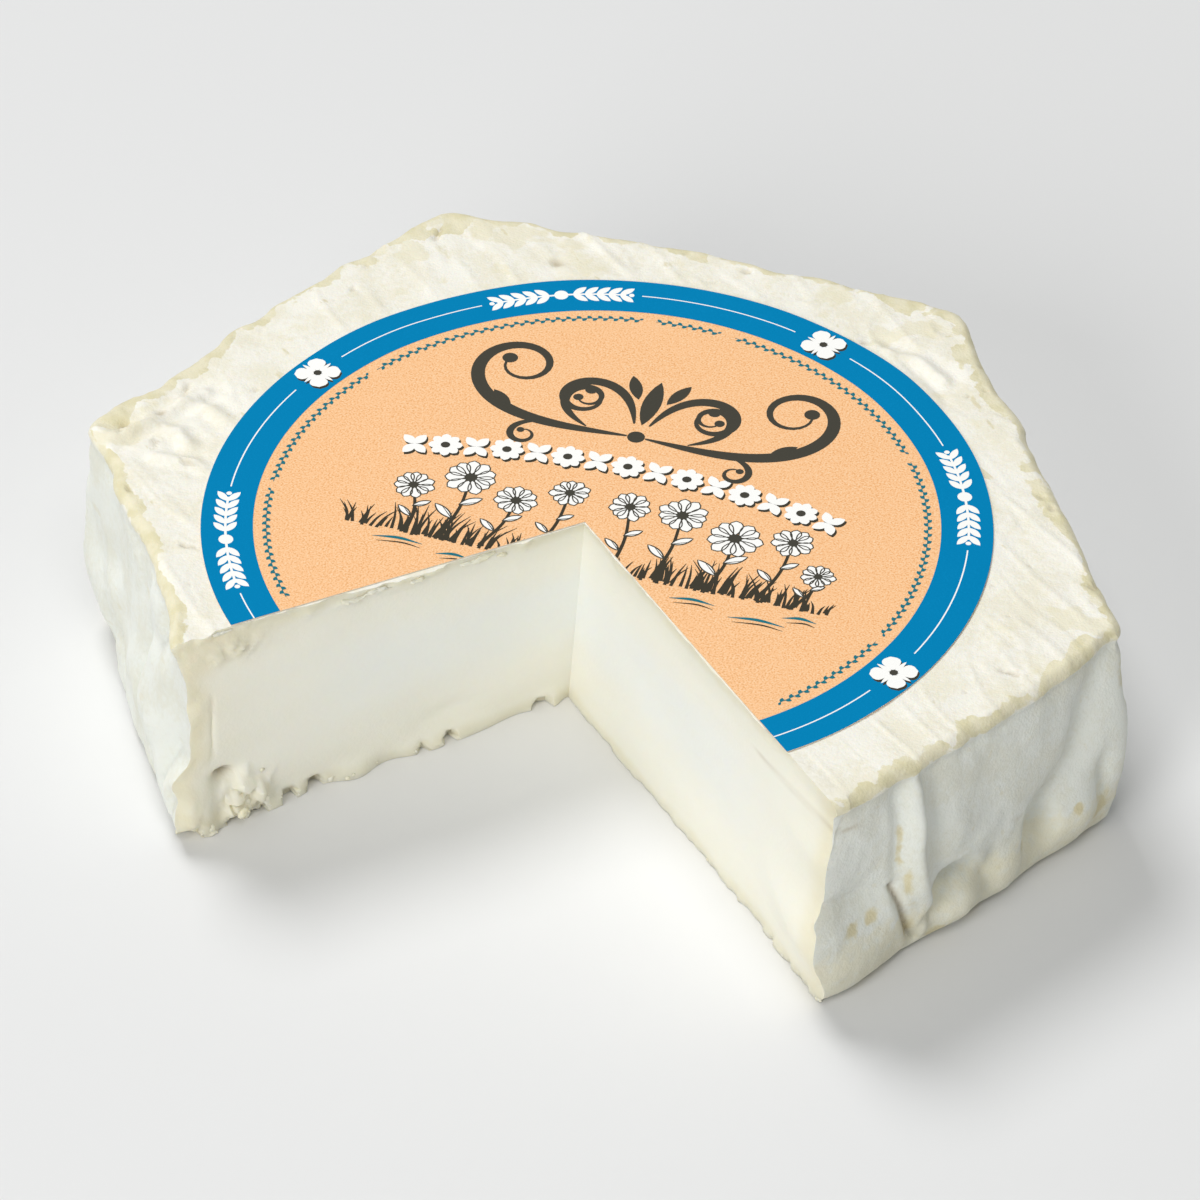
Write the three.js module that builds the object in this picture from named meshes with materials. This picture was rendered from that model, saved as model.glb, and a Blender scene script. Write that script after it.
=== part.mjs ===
// A hexagonal goat's cheese with a white bloomy rind and a round paper label on top, opened by one
// cut of a little more than a quarter. The cut goes through the label and the cheese alike.
// Millimetres, +Z up. Every shape is worked out round the tip of the cut, where its two faces meet,
// and the finished cheese is then moved so that its origin is under the middle of its box.

import * as THREE from "three";
import { ParametricGeometry } from "three/addons/geometries/ParametricGeometry.js";
import { mergeGeometries, mergeVertices } from "three/addons/utils/BufferGeometryUtils.js";

const { degToRad, lerp, smoothstep } = THREE.MathUtils;

// The cheese: height, and the roundings where the top and the base turn into the wall
const HEIGHT = 44;
const SHOULDER = 3.2;
const FOOT = 4.5;

// Its six corners as bearing in degrees and reach in mm from the tip of the cut, starting at the
// right and going round by the back, each with how far the side that follows bows out in its middle.
// The mould is a hexagon, but the soft cheese has slumped a little.
const CORNERS = [
  [-0.5, 97.2, 1.3],
  [58.0, 93.8, 3.2],
  [122.6, 97.0, 1.5],
  [179.8, 94.2, 1.6],
  [245.1, 88.6, 2],
  [300.0, 92.8, 2],
];
const CORNER_SHARPNESS = 60; // power of the blend between two sides: higher is a tighter corner

// The cut: bearings of its right and left face, and how far its tip leans back at the base
const RIGHT_CUT = -44.2;
const LEFT_CUT = 222.1;
const TIP_LEAN = [-3.9, 3.8];

// The paper label: its middle lies a little off the tip of the cut
const LABEL_RADIUS = 69.1;
const LABEL_CENTRE = [1.8, 1.7];
const LABEL_THICKNESS = 0.4;
const LABEL_GAP = 0.3;

// Relief of the rind
const BELLY = 1.6; // the wall bows out most a third of the way up
const LUMP = 0.55; // height of the broad unevenness of the wall
const SCALLOP = 0.6; // how deep the shoulder dips between the lines that the draining mat pressed
const MAT_LINE_SPACING = 8.6;
const MAT_LINE_BEARING = 137;
const TOP_DIP = 0.7; // how far the bare rim of the top sinks between lumps

// Fineness of the mesh
const COLUMNS = 132;
const FRONT_COLUMNS = 34; // of these, the ones on the short folded side next to the right cut
const OUT_STEPS = 10;
const SHOULDER_STEPS = 4;
const WALL_STEPS = 9;
const FOOT_STEPS = 4;

const RIND_COLOUR = 0xf3efe3;
const PAPER_COLOUR = 0xf0bd8a;

const corners = CORNERS.map(([bearing, reach]) => polar(degToRad(bearing), reach));

// Each side as the bearing it faces and its distance from the tip of the cut
const sides = corners.map((start, i) => {
  const end = corners[(i + 1) % corners.length];
  const along = end.clone().sub(start).normalize();
  const facing = new THREE.Vector2(along.y, -along.x);
  return { bearing: facing.angle(), distance: facing.dot(start), crown: CORNERS[i][2] };
});
const RIGHT_CORNER = degToRad(CORNERS[0][0]);
const LEFT_CORNER = corners[3];

function polar(angle, reach) {
  return new THREE.Vector2(Math.cos(angle) * reach, Math.sin(angle) * reach);
}

// Distance from the tip of the cut to the outline along a bearing: the sides as a blend of
// half-planes, which rounds the corners, each side bowed out by its crown
function rim(angle) {
  let blend = 0;
  for (const side of sides) {
    const turn = Math.atan2(Math.sin(angle - side.bearing), Math.cos(angle - side.bearing));
    const lean = Math.cos(turn);
    if (lean <= 0) continue;
    const crown = side.crown * Math.cos(Math.min(Math.PI / 2, Math.abs(turn) * 3));
    blend += (lean / (side.distance + crown)) ** CORNER_SHARPNESS;
  }
  return blend ** (-1 / CORNER_SHARPNESS);
}

// A round hill of height 1 at the origin
function hill(x, y) {
  return Math.exp(-x * x - y * y);
}

// A ridge of height 1 along x = 0, steep on its negative side and soft on the other
function ridge(x, steep, soft) {
  return hill(x < 0 ? x / steep : x / soft, 0);
}

// Broad unevenness, from -1 to 1, of a surface with coordinates in mm
function lumps(x, y) {
  const wide = Math.sin(x / 9.3 + 0.8) * Math.sin(y / 8.1 + x / 31);
  const fine = Math.sin(x / 4.7 + y / 7.9 + 2.1) * Math.sin(y / 5.3 - x / 17);
  return 0.62 * wide + 0.38 * fine;
}

// Folds of the rind on the side next to the right cut, by the distance from its right corner and
// the height: a hollow by the cut, a fold that hangs down from the shoulder, and a lumpy foot.
function folds(run, z) {
  const foldLine = 44.2 + 2.6 * smoothstep(z, 10, 42);
  const fold = 2.4 * ridge(run - foldLine, 1.4, 5.4) * smoothstep(z, 0, 6) * (1 - smoothstep(z, 38, 44));
  const hollow = -3.2 * hill((run - 59.5) / 7.4, (z - 28) / 9);
  const cutFoot = 1.6 * hill((run - 59) / 8, (z - 9) / 5.5);
  const crease = -1.6 * hill((run - 50) / 2.6, (z - 12) / 6);
  const middleDent = -1.7 * hill((run - 38.5) / 4, (z - 15) / 3.6);
  const middleFoot = 1.2 * hill((run - 33.5) / 4.6, (z - 7.5) / 4.4);
  const cornerDent = -2.6 * hill((run - 19) / 4, (z - 13) / 5);
  const cornerFoot = 2.1 * hill((run - 11.5) / 4.2, (z - 9) / 6);
  const cornerGroove = -1.3 * hill((run - 4.6) / 1.9, (z - 14.5) / 4.5);
  const valley = -1.6 * hill((run - lerp(14, 3, z / HEIGHT)) / 3.6, (z - 27) / 9);
  const byTheCut = fold + hollow + cutFoot + crease;
  return byTheCut + middleDent + middleFoot + cornerDent + cornerFoot + cornerGroove + valley;
}

// How far the wall stands proud of the outline at a bearing and height
function wallRelief(angle, z) {
  const belly = BELLY * Math.sin(Math.PI * Math.min(1, (HEIGHT - z) / (HEIGHT - SHOULDER)) ** 1.5);
  const girth = angle * CORNERS[0][1];
  const point = polar(angle, rim(angle));
  const fromCorner = corners[0].distanceTo(point);
  const run = angle < RIGHT_CORNER ? fromCorner : -fromCorner;
  const cornerBelly = 0.5 * hill(run / 9, (z - 16) / 14);
  const tuckedFoot = -2.8 * hill(LEFT_CORNER.distanceTo(point) / 26, z / 11);
  return belly + LUMP * lumps(girth, z) + cornerBelly + tuckedFoot + folds(run, z);
}

// How far the shoulder dips in between the mat lines, which run straight across the top
function notch(x, y) {
  const across = polar(degToRad(MAT_LINE_BEARING - 90), 1).dot({ x, y }) / MAT_LINE_SPACING;
  return SCALLOP * Math.sin(Math.PI * across) ** 2;
}

// Height of the top above or below HEIGHT: flat under the label, uneven on the bare rim round it
function topRelief(x, y) {
  const fromLabel = Math.hypot(x - LABEL_CENTRE[0], y - LABEL_CENTRE[1]) - LABEL_RADIUS;
  return smoothstep(fromLabel, 0, 6) * TOP_DIP * (lumps(x * 1.4, y * 1.4) - 0.3);
}

// How far a cut face stands out of its plane: crumbled where it meets the base, and more so on the
// left face near the wall, where the soft paste has broken away
function leftCutRelief(out, z) {
  const ragged = (0.5 + Math.sin(out / 3.1 + 1.3 * Math.sin(out / 6.7))) * (1 - smoothstep(z, 0, 5));
  const crumbs = 1.9 * hill((out - 62) / 8, (z - 5) / 6);
  const cavity = -2.4 * hill((out - 70.5) / 3.5, (z - 12) / 3.2);
  const flap = 2.8 * smoothstep(out, 71, 77) * (1 - smoothstep(z, 1, 9));
  return ragged + crumbs + cavity + flap + 0.25 * lumps(out, z * 1.6);
}

function rightCutRelief(out, z) {
  const ragged = (1.5 + 0.5 * Math.sin(out / 2.7)) * (1 - smoothstep(z, 0, 6));
  return ragged + 0.25 * lumps(out * 0.8, z);
}

// The stations of the cheese's section, from the middle of the base round the foot, up the wall and
// over the shoulder to the middle of the top: share of the way out, inset from the wall, height.
const outShares = Array.from({ length: OUT_STEPS + 1 }, (_, i) => 1 - (1 - i / OUT_STEPS) ** 1.6);

function steps(count, station) {
  return Array.from({ length: count }, (_, i) => station((i + 1) / count));
}

const edge = [
  { inset: FOOT, z: 0 },
  ...steps(FOOT_STEPS, (t) => ({
    inset: FOOT * (1 - Math.sin((t * Math.PI) / 2)),
    z: FOOT * (1 - Math.cos((t * Math.PI) / 2)),
  })),
  ...steps(WALL_STEPS, (t) => ({ inset: 0, z: lerp(FOOT, HEIGHT - SHOULDER, t) })),
  ...steps(SHOULDER_STEPS, (t) => ({
    inset: SHOULDER * (1 - Math.cos((t * Math.PI) / 2)),
    z: HEIGHT - SHOULDER * (1 - Math.sin((t * Math.PI) / 2)),
  })),
];
const section = [
  ...outShares.slice(0, -1).map((share) => ({ ...edge[0], share })),
  ...edge.map((station) => ({ ...station, share: 1 })),
  ...outShares.slice(0, -1).reverse().map((share) => ({ ...edge[edge.length - 1], share })),
];

// The bearing of a column, column 0 on the right cut face and the last on the left one
function columnAngle(column) {
  if (column <= FRONT_COLUMNS) return lerp(degToRad(RIGHT_CUT), RIGHT_CORNER, column / FRONT_COLUMNS);
  const rest = (column - FRONT_COLUMNS) / (COLUMNS - FRONT_COLUMNS);
  return lerp(RIGHT_CORNER, degToRad(LEFT_CUT), rest);
}

// The point of the cheese in a column at a station
function cheesePoint(column, { share, inset, z }, target) {
  const angle = columnAngle(column);
  const facing = polar(angle, 1);
  const reach = rim(angle);
  const shoulderNotch = notch(facing.x * reach, facing.y * reach) * smoothstep(z, HEIGHT - 8, HEIGHT);
  const wall = reach - inset + wallRelief(angle, z) * smoothstep(z, -2, FOOT) - shoulderNotch;
  const lean = 1 - z / HEIGHT;
  let x = lerp(TIP_LEAN[0] * lean, facing.x * wall, share);
  let y = lerp(TIP_LEAN[1] * lean, facing.y * wall, share);
  const out = share * wall;
  if (column === 0) {
    const proud = rightCutRelief(out, z) * share;
    x += facing.y * proud;
    y -= facing.x * proud;
  }
  if (column === COLUMNS) {
    const proud = leftCutRelief(out, z) * share;
    x -= facing.y * proud;
    y += facing.x * proud;
  }
  return target.set(x, y, z + topRelief(x, y) * (z / HEIGHT) ** 6);
}

// The rind goes round from one cut face to the other
function rindGeometry() {
  const point = (u, v, target) =>
    cheesePoint(Math.round(u * COLUMNS), section[Math.round(v * (section.length - 1))], target);
  return new ParametricGeometry(point, COLUMNS, section.length - 1);
}

// A cut face fills the section in one column. The left one is turned to face the other way.
function cutGeometry(column) {
  const point = (u, v, target) => {
    const station = edge[Math.round(v * (edge.length - 1))];
    const outwards = column === 0 ? u : 1 - u;
    return cheesePoint(column, { ...station, share: outShares[Math.round(outwards * OUT_STEPS)] }, target);
  };
  return new ParametricGeometry(point, OUT_STEPS, edge.length - 1);
}

function cheeseMesh() {
  const surfaces = [rindGeometry(), cutGeometry(0), cutGeometry(COLUMNS)];
  for (const surface of surfaces) {
    surface.deleteAttribute("normal");
    surface.deleteAttribute("uv");
  }
  const geometry = mergeVertices(mergeGeometries(surfaces), 1e-4);
  geometry.computeVertexNormals();
  const material = new THREE.MeshStandardMaterial({ color: RIND_COLOUR, roughness: 0.85, metalness: 0 });
  const mesh = new THREE.Mesh(geometry, material);
  mesh.name = "cheese";
  return mesh;
}

// Where a bearing from the tip of the cut meets the edge of the label
function labelEdge(angle) {
  const centre = new THREE.Vector2(...LABEL_CENTRE);
  const facing = polar(angle, 1);
  const middle = facing.dot(centre);
  const reach = middle + Math.sqrt(middle ** 2 + LABEL_RADIUS ** 2 - centre.lengthSq());
  return facing.multiplyScalar(reach);
}

// A disc of paper with the wedge of the cut left out, lying on the flat of the top
function labelMesh() {
  const [cx, cy] = LABEL_CENTRE;
  const start = labelEdge(degToRad(RIGHT_CUT));
  const end = labelEdge(degToRad(LEFT_CUT));
  const outline = new THREE.Shape();
  outline.moveTo(0, 0);
  outline.lineTo(start.x, start.y);
  const startTurn = Math.atan2(start.y - cy, start.x - cx);
  const endTurn = Math.atan2(end.y - cy, end.x - cx);
  outline.absarc(cx, cy, LABEL_RADIUS, startTurn, endTurn, false);
  outline.closePath();
  const geometry = new THREE.ExtrudeGeometry(outline, {
    depth: LABEL_THICKNESS,
    bevelEnabled: false,
    curveSegments: 96,
  });
  const material = new THREE.MeshStandardMaterial({ color: PAPER_COLOUR, roughness: 0.7, metalness: 0 });
  const mesh = new THREE.Mesh(geometry, material);
  mesh.name = "label";
  mesh.position.z = HEIGHT + LABEL_GAP;
  return mesh;
}

// Both pieces, moved so that the origin is under the middle of the cheese's box
const cutCheese = new THREE.Group();
const pieces = new THREE.Group();
pieces.add(cheeseMesh(), labelMesh());
const middle = new THREE.Box3().setFromObject(pieces).getCenter(new THREE.Vector3());
pieces.position.set(-middle.x, -middle.y, 0);
cutCheese.add(pieces);

export default cutCheese;
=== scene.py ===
import math

import bmesh
import bpy
import numpy as np
from mathutils import Matrix, Vector
from mathutils.geometry import delaunay_2d_cdt


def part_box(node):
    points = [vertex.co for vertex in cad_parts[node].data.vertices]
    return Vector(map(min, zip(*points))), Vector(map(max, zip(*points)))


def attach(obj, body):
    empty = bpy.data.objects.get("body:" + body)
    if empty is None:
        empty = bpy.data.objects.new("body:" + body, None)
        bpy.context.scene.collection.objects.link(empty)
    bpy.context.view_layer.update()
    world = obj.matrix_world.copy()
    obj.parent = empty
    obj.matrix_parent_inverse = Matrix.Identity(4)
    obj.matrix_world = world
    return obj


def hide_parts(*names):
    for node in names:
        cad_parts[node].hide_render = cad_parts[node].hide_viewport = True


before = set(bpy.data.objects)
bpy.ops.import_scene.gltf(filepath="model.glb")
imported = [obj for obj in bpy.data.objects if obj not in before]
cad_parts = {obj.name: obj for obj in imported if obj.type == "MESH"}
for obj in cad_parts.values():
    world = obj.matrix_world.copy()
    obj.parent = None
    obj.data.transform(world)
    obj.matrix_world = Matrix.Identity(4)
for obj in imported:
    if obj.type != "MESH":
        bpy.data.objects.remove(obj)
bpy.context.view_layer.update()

# The cheese: one piece of soft white goat's curd, drained in a hexagonal mould, turned on a mat of
# rods and ripened under a skin of white mould. One cut of a little more than a quarter has been
# lifted out of it. Its shape is worked out in millimetres round the tip of the cut.
MM = 0.001
HEIGHT = 44.0
SHOULDER = 1.9
FOOT = 3.2
# Bearing and reach of each corner from the tip of the cut, and how far the side that follows bows out
CORNERS = (
    (-0.5, 96.7, 0.2),
    (59.3, 94.0, 2.3),
    (122.6, 97.0, 0.7),
    (179.8, 94.4, 1.4),
    (245.1, 87.8, 2.0),
    (300.0, 92.0, 2.0),
)
CORNER_SHARPNESS = 100
# Bearing, half the width in degrees, and height of the places where the sides swell or sink
SIDE_SWELLS = ((12, 6, 0.8), (48, 7, -2.0), (72, 4, -0.9), (85, 7, -1.4), (111, 7, 0.8), (169, 7, -1.5))
RIGHT_CUT = math.radians(-44.2)
LEFT_CUT = math.radians(222.1)
TIP_LEAN = (-3.9, 3.8)
LABEL_RADIUS = 69.1
LABEL_OFFSET = (1.8, 1.7)
BELLY = 1.6
LUMP = 0.55
MAT_LINE_SPACING = 8.6
MAT_LINE_BEARING = math.radians(137)
FRONT_COLUMNS = 130
BACK_COLUMNS = 480
MARGIN_FROM = 0.72  # share of the way out where the bare margin of the top begins
MARGIN_STEPS = 48
INNER_STEPS = 64
WALL_STEPS = 52
ROUND_STEPS = 8
SHARP_EDGE = math.radians(48)  # edges that turn more than this stay crisp, as those of the cuts do

label_low, label_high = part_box("label")
TIP = np.array((
    label_low.x / MM + LABEL_RADIUS - LABEL_OFFSET[0],
    label_high.y / MM - LABEL_RADIUS - LABEL_OFFSET[1],
))


def smooth(x, low, high):
    t = np.clip((np.asarray(x, float) - low) / (high - low), 0, 1)
    return t * t * (3 - 2 * t)


def hill(x, y=0.0):
    return np.exp(-np.square(x) - np.square(y))


def grain(x, y, z, seed):
    """Smooth noise from -1 to 1 on a lattice of whole numbers."""
    cells = [np.floor(v).astype(np.int64) for v in np.broadcast_arrays(x, y, z)]
    parts = [v - c for v, c in zip(np.broadcast_arrays(x, y, z), cells)]
    parts = [p * p * p * (p * (6 * p - 15) + 10) for p in parts]
    total = 0.0
    for corner in np.ndindex(2, 2, 2):
        mixed = seed * 7919 + 1013904223
        for cell, step, prime in zip(cells, corner, (73856093, 19349663, 83492791)):
            mixed = mixed ^ ((cell + step) * prime)
        mixed = (mixed ^ (mixed >> 13)) * 1274126177 & 0xFFFFFFFF
        mixed = (mixed ^ (mixed >> 15)) * 2246822519 & 0xFFFFFFFF
        weight = 1.0
        for part, step in zip(parts, corner):
            weight = weight * (part if step else 1 - part)
        total = total + weight * ((mixed & 0xFFFF) / 32767.5 - 1)
    return total


def rough(x, y, z, size, octaves, seed):
    """Noise of several sizes, the largest as wide as size."""
    total, share = 0.0, 1.0
    for octave in range(octaves):
        scale = 2 ** octave / size
        total = total + share * grain(x * scale, y * scale, z * scale, seed + octave)
        share *= 0.5
    return total


def lumps(x, y):
    wide = np.sin(x / 9.3 + 0.8) * np.sin(y / 8.1 + x / 31)
    fine = np.sin(x / 4.7 + y / 7.9 + 2.1) * np.sin(y / 5.3 - x / 17)
    return 0.62 * wide + 0.38 * fine


corner_points = np.array([
    (reach * math.cos(math.radians(bearing)), reach * math.sin(math.radians(bearing)))
    for bearing, reach, _ in CORNERS
])
BACK_RIGHT, LEFT = 1, 3  # numbers of two corners, of which the right one is 0
RIGHT_CORNER = math.radians(CORNERS[0][0])


def from_corner(number, x, y):
    return np.hypot(x - corner_points[number][0], y - corner_points[number][1])


def rim(angle):
    """Distance from the tip of the cut to the outline: six bowed sides blended into each other."""
    joined = 0.0
    for i, start in enumerate(corner_points):
        along = corner_points[(i + 1) % 6] - start
        along = along / np.hypot(*along)
        facing = np.array((along[1], -along[0]))
        turn = angle - math.atan2(facing[1], facing[0])
        lean = np.cos(turn)
        off = np.abs(np.arctan2(np.sin(turn), lean))
        crown = CORNERS[i][2] * np.cos(np.minimum(math.pi / 2, off * 3))
        joined = joined + (np.maximum(lean, 0) / (facing @ start + crown)) ** CORNER_SHARPNESS
    swells = 0.0
    for bearing, width, height in SIDE_SWELLS:
        swells = swells + height * hill((angle - math.radians(bearing)) / math.radians(width))
    return joined ** (-1 / CORNER_SHARPNESS) + swells


def from_path(x, y, path):
    """Distance of points from a line through a few places."""
    nearest = 1e9
    for start, end in zip(path[:-1], path[1:]):
        ax, ay = end[0] - start[0], end[1] - start[1]
        t = np.clip(((x - start[0]) * ax + (y - start[1]) * ay) / (ax * ax + ay * ay), 0, 1)
        nearest = np.minimum(nearest, np.hypot(x - start[0] - t * ax, y - start[1] - t * ay))
    return nearest


FOLD_EDGE = 44.7  # how far from the right corner the fold hangs, at its foot
WALL_STRETCH = 1.09  # the marks' distances are those on a flat wall, and this one bows out
# Lines and cracks on that side, by distance from the right corner and height
CREASE = ((72.0, 23.8), (62.6, 22.2), (57.0, 20.6), (50.2, 18.6), (48.4, 12.0), (46.7, 6.7), (44.6, 3.0))
CORNER_GROOVE = ((2.0, 43.0), (8.0, 33.0), (11.4, 22.5), (18.6, 16.0))
CRACKS = (
    ((18.2, 18.2), (16.0, 19.2), (14.3, 19.4)),
    ((25.6, 18.6), (23.2, 18.4)),
    ((61.8, 37.4), (56.9, 36.4)),
    ((15.8, 27.5), (15.4, 27.7)),
)


def wall_run(angle, x, y):
    """Distance from the right corner along the short side next to the right cut, negative behind it."""
    away = from_corner(0, x, y)
    return np.where(angle < RIGHT_CORNER, away, -away) / WALL_STRETCH


def folds(run, z):
    """Relief of that short side: a hanging fold with a hollow beside it, dents, bulges and creases."""
    fold_line = FOLD_EDGE + 1.2 * smooth(z, 10, 42) + 0.35 * np.sin(z / 3.1) - 1.6 * (1 - smooth(z, 8, 20))
    off_fold = run - fold_line
    column = 1 - smooth(off_fold, 0.2, 3.4)
    fold = 1.1 * np.where(off_fold < 0, hill(off_fold / 0.7), column)
    fold = fold * smooth(z, 1, 7) * (1 - smooth(z, 39.5, 43.5))
    shade_side = -1.1 * hill((off_fold + 3.6) / 2.6) * smooth(z, 4, 12) * (1 - smooth(z, 36, 42))
    hollow = -1.2 * smooth(off_fold, 0.4, 3.8) - 0.4 * hill((off_fold - 4.2) / 1.2)
    hollow = hollow * smooth(z, 14, 21) * (1 - smooth(z, 37.0, 42.5))
    cut_foot = 1.5 * hill((run - 57.0) / 7.0, np.maximum(z - 4.0, 0) / 9.5)
    cut_valley = -1.5 * hill((run - 57.0) / 6.5) * smooth(z, 6, 18.5) * (1 - smooth(z, 20.5, 31))
    crease = -0.6 * hill(from_path(run, z, CREASE) / 1.2) - 1.0 * hill(from_path(run, z, CREASE[3:]) / 0.6)
    brow = z + 0.12 * np.square(run - 36.8)
    middle_dent = -4.2 * hill((run - 37.2) / 5.4) * smooth(brow, 8.5, 14.2) * (1 - smooth(brow, 15.0, 17.6))
    middle_foot = 2.2 * hill((run - 36.4) / 4.4, (z - 6.0) / 4.2)
    seam = -1.1 * hill((run - 29.4) / 1.5, (z - 9) / 6.5)
    next_foot = 1.3 * hill((run - 24.8) / 3.6, (z - 7) / 6)
    corner_dent = -4.2 * smooth(run, 14.0, 16.4) * (1 - smooth(run, 17.5, 24.0)) * hill((z - 11.0) / 4.6)
    corner_foot = 2.6 * hill((run - 10.4) / 4.4, (z - 9.5) / 6.0)
    corner_groove = -1.8 * hill((run - 4.9) / 1.4, (z - 14.5) / 4.8)
    corner_lobe = 0.6 * hill((run - 1) / 3.2, (z - 14) / 9)
    groove = -1.9 * hill(from_path(run, z, CORNER_GROOVE) / 3.0)
    return (
        fold + shade_side + hollow + cut_foot + cut_valley + crease + middle_dent + middle_foot + seam
        + next_foot + corner_dent + corner_foot + corner_groove + corner_lobe + groove
    )


def wall_relief(angle, z):
    """How far the walls stand out or in: their belly, lumps, folds and the lip below the top."""
    reach = rim(angle)
    x, y = reach * np.cos(angle), reach * np.sin(angle)
    girth = angle * CORNERS[0][1]
    belly = BELLY * np.sin(math.pi * np.minimum(1, (HEIGHT - z) / (HEIGHT - SHOULDER)) ** 1.5)
    run = wall_run(angle, x, y)
    on_front = smooth(run, -6, 1)
    tucked_foot = -2.8 * hill(from_corner(LEFT, x, y) / 26, z / 11)
    from_left_cut = (LEFT_CUT - angle) * CORNERS[LEFT][1]
    left_edge = 1.7 * hill(from_left_cut / 9) * smooth(z, 33, 42)
    left_edge = left_edge - 2.6 * hill(from_left_cut / 5, (z - 17) / 3.6)
    corner_belly = 0.9 * hill(run / 9, (z - 27) / 9)
    lip = (0.45 * hill((z - 42.4) / 0.8) - 0.55 * hill((z - 40.6) / 1.3)) * (0.45 + 0.55 * on_front)
    left_lean = -3.0 * smooth(angle, math.radians(172), math.radians(185)) * smooth(z, 9, 27)
    # The other walls have softer folds: some hang down from the shoulder, some pinch the foot
    hanging = grain(girth / 11, z / 60, 0.0, 3)
    pinched = grain(girth / 6.5, z / 19, 0.0, 4)
    soft_folds = -1.3 * hill(hanging / 0.13) * smooth(z, 6, 16) * (1 - smooth(z, 36, 43))
    here_and_there = smooth(grain(girth / 17, 0.0, 4.0, 6), -0.15, 0.45)
    soft_folds = soft_folds - 1.3 * here_and_there * hill(pinched / 0.16) * (1 - smooth(z, 8, 20))
    soft_folds = soft_folds + 0.9 * grain(girth / 8, z / 9, 0.0, 5)
    even = 0.22 * rough(x, y, z, 5.0, 4, 11)
    return (
        belly + LUMP * lumps(girth, z) + corner_belly + tucked_foot + left_lean + left_edge + lip + even
        + on_front * folds(run, z) + (1 - on_front) * soft_folds
    )


def by_mat(x, y):
    """Places on the top, measured across and along the lines that the mat left."""
    across = -x * math.sin(MAT_LINE_BEARING) + y * math.cos(MAT_LINE_BEARING)
    along = x * math.cos(MAT_LINE_BEARING) + y * math.sin(MAT_LINE_BEARING)
    return across + 1.5 * grain(x / 15, y / 15, 0.0, 21), along


def mat_lines(x, y):
    """Distance of a place on the top from the nearest line that the mat left."""
    phase = by_mat(x, y)[0] / MAT_LINE_SPACING
    return np.abs(phase - np.round(phase)) * MAT_LINE_SPACING


def from_label(x, y):
    return np.hypot(x - LABEL_OFFSET[0], y - LABEL_OFFSET[1]) - LABEL_RADIUS


# Creases that the rind drew together into near its left corner, and small tears with their radius
TOP_CREASES = (
    ((-91.0, -0.2), (-87.6, -0.6), (-84.5, 1.2), (-81.5, 6.1), (-78.7, 11.2), (-75.5, 15.5)),
    ((-86.9, -3.1), (-83.9, 2.0), (-79.9, 4.2), (-76.3, 3.2), (-73.5, 0.5)),
    ((-78.8, 11.5), (-73.1, 11.4), (-67.5, 8.0), (-64.6, 6.5)),
    ((-77.7, -4.4), (-71.3, -4.2), (-65.8, -5.5)),
    ((38.7, 63.4), (44.6, 62.1), (49.9, 58.2)),
    ((35.9, 64.7), (43.0, 57.6), (49.2, 51.3)),
)
TOP_TEARS = ((-26.7, 71.5, 1.3), (-85.9, 2.6, 1.2), (-81.2, 7.7, 1.1))


def top_relief(x, y):
    """Relief of the bare margin of the top. Under the label the rind is flat."""
    bare = smooth(from_label(x, y), -0.5, 3.5)
    across, along = by_mat(x, y)
    broken = smooth(grain(x / 12, y / 12, 0.0, 22), -0.5, 0.5)
    crests = 0.22 * broken * hill(mat_lines(x, y) / 0.7)
    wander = grain(across / 6.5, along / 24, 0.0, 24) + 0.35 * grain(across / 2.6, along / 12, 0.0, 26)
    drawn = 0.14 * hill(wander / 0.12) - 0.08 * hill((wander - 0.28) / 0.16)
    bent_x, bent_y = x + 3 * grain(x / 9, y / 9, 0.0, 24), y + 3 * grain(x / 9, y / 9, 5.0, 24)
    swirl = 0.13 * rough(bent_x, bent_y, 0.0, 9.0, 3, 25)
    for path in TOP_CREASES:
        near = from_path(x, y, path)
        swirl = swirl + 0.62 * hill(near / 1.1) - 0.3 * hill((near - 2.5) / 1.2)
    for tear_x, tear_y, radius in TOP_TEARS:
        swirl = swirl - 0.9 * hill((x - tear_x) / radius, (y - tear_y) / radius)
    left = hill(np.hypot(x - corner_points[LEFT][0] - 14, y - corner_points[LEFT][1]) / 17)
    back_x, back_y = corner_points[BACK_RIGHT]
    back_right = hill(np.hypot(x - back_x + 8, y - back_y + 8) / 16)
    wrinkled = np.abs(rough(bent_x, bent_y, 0.0, 10.0, 2, 27))
    wrinkles = (left + back_right) * (0.3 * hill(wrinkled / 0.12) - 0.12)
    pits = -0.5 * smooth(grain(x / 2.4, y / 2.4, 0.0, 28), 0.86, 0.97)
    return bare * (crests + drawn + swirl + wrinkles + pits + 0.2 * (lumps(x * 1.4, y * 1.4) - 0.3))


def crumbly(x, y, size, seed):
    """Round lumps parted by sharp clefts, as broken curd has."""
    coarse = np.abs(grain(x / size, y / size, 0.0, seed))
    return coarse + 0.45 * np.abs(grain(2 * x / size, 2 * y / size, 0.0, seed + 1))


CAVITY_OUT = 68.8  # how far from the tip a small hole opened above the crumbled foot


def crumbled(out, z):
    """Where the left cut broke up at its foot, from 0 to 1."""
    patch = hill((out - 65.0) / 5.0, (z - 4.4) / 5.6) + 0.2 * grain(out / 2.8, z / 2.8, 0.0, 30)
    return smooth(patch, 0.25, 0.75)


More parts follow.
